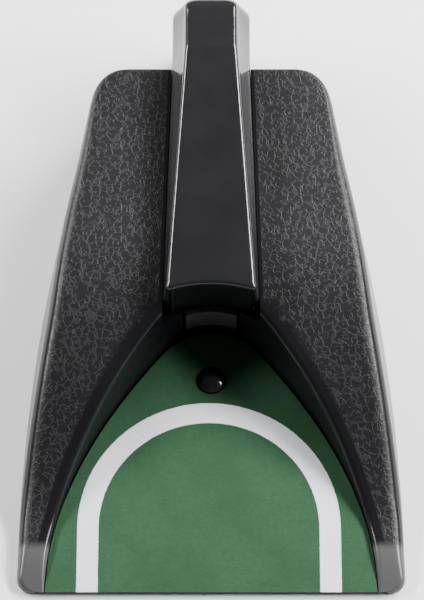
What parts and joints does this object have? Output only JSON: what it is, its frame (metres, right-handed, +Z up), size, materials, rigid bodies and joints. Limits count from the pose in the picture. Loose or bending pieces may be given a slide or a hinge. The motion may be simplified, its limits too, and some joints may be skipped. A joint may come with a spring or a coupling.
{
  "type": "automatic golf putting cup",
  "caption": "Free-standing putting target: a felt ramp leads into a curved ball pocket with a button that sets off a motor-driven kicker.",
  "frame": {"origin": "centre of the whole object's footprint box, on the floor", "axes": "+Y from the ramp's front edge to the tail, +X to the right seen from the ramp, +Z up"},
  "size_m": [0.1804, 0.29, 0.066],
  "materials": {
    "textured_black": "moulded black plastic with a crinkled leather grain",
    "gloss_black": "smooth glossy black plastic",
    "moulded_black": "plain moulded black plastic",
    "green_felt": "short green felt with a printed white U line",
    "cell_jacket": "printed cell jacket, plain",
    "spring_steel": "bright spring steel",
    "axle_steel": "turned steel",
    "plated_steel": "zinc-plated sheet",
    "red_plastic": "red moulded plastic",
    "black_rubber": "soft black rubber",
    "white_nylon": "natural nylon",
    "copper_rotor": "enamelled copper winding",
    "brass": "turned brass",
    "board_green": "solder-masked board",
    "red_wire": "insulated hook-up wire"
  },
  "bodies": {
    "housing": {"upper_case": "textured_black", "spine_cover": "gloss_black", "ramp_plate": "moulded_black", "felt_mat": "green_felt", "base_plate": "moulded_black", "battery_tray": "moulded_black", "batteries": "cell_jacket", "battery_contacts": "spring_steel", "trigger_spring": "spring_steel", "switch_body": "moulded_black", "ejector_spring": "spring_steel", "spring_bracket": "moulded_black", "second_axle": "axle_steel", "first_axle": "axle_steel", "motor_can": "axle_steel", "motor_end_cap": "white_nylon", "motor_screws": "axle_steel", "gearbox_left_plate": "plated_steel", "gearbox_right_plate": "plated_steel", "gearbox_posts": "brass", "gearbox_screws": "axle_steel", "circuit_board": "board_green", "board_parts": "moulded_black", "wires": "red_wire", "tail_cap": "moulded_black", "tail_screws": "axle_steel", "case_screws": "axle_steel", "rubber_feet": "black_rubber", "front_grip_strip": "black_rubber"},
    "door": {"battery_door": "moulded_black"},
    "trigger": {"trigger_button": "gloss_black"},
    "lever": {"switch_lever": "spring_steel"},
    "ejector": {"ejector_carriage": "red_plastic", "ejector_pad": "black_rubber", "ejector_pin": "axle_steel"},
    "cam": {"cam_wheel": "white_nylon", "cam_gear": "white_nylon", "cam_axle": "axle_steel"},
    "second_stage": {"second_gear": "white_nylon"},
    "first_stage": {"first_gear": "white_nylon"},
    "rotor": {"motor_rotor": "copper_rotor", "motor_pinion": "brass"}
  },
  "joints": [
    {"name": "trigger_press", "type": "slide", "parent": "housing", "child": "trigger", "axis": [0, 0, -1], "range_m": [0, 0.0018], "stiffness_N_per_m": 180, "springref_m": -0.0008, "deforming": ["trigger_spring"]},
    {"name": "switch_lever_hinge", "type": "hinge", "parent": "housing", "child": "lever", "pos_m": [0, -0.0273, 0.0049], "axis": [1, 0, 0], "range_deg": [0, 22]},
    {"name": "cam_spin", "type": "hinge", "parent": "housing", "child": "cam", "pos_m": [0, 0.027, 0.028], "axis": [1, 0, 0], "range_deg": [0, 300]},
    {"name": "second_gear_spin", "type": "hinge", "parent": "housing", "child": "second_stage", "pos_m": [0, 0.04871, 0.0201], "axis": [1, 0, 0], "range_deg": [-1350, 0]},
    {"name": "first_gear_spin", "type": "hinge", "parent": "housing", "child": "first_stage", "pos_m": [0, 0.06518, 0.02096], "axis": [1, 0, 0], "range_deg": [0, 7560]},
    {"name": "motor_spin", "type": "hinge", "parent": "housing", "child": "rotor", "pos_m": [0, 0.07741, 0.01836], "axis": [1, 0, 0], "range_deg": [-30240, 0]},
    {"name": "ejector_slide", "type": "slide", "parent": "housing", "child": "ejector", "axis": [0, 1, 0], "range_m": [0, 0.016], "deforming": ["ejector_spring"]},
    {"name": "battery_door_slide", "type": "slide", "parent": "housing", "child": "door", "axis": [0, 1, 0], "range_m": [0, 0.12]}
  ],
  "couplings": [
    {"joint": "switch_lever_hinge", "follows": "trigger_press", "rad_per_m": 213.32},
    {"joint": "second_gear_spin", "follows": "cam_spin", "ratio": -4.5},
    {"joint": "first_gear_spin", "follows": "cam_spin", "ratio": 25.2},
    {"joint": "motor_spin", "follows": "cam_spin", "ratio": -100.8},
    {"joint": "ejector_slide", "follows": "cam_spin", "m_per_rad": 0.0030558}
  ]
}
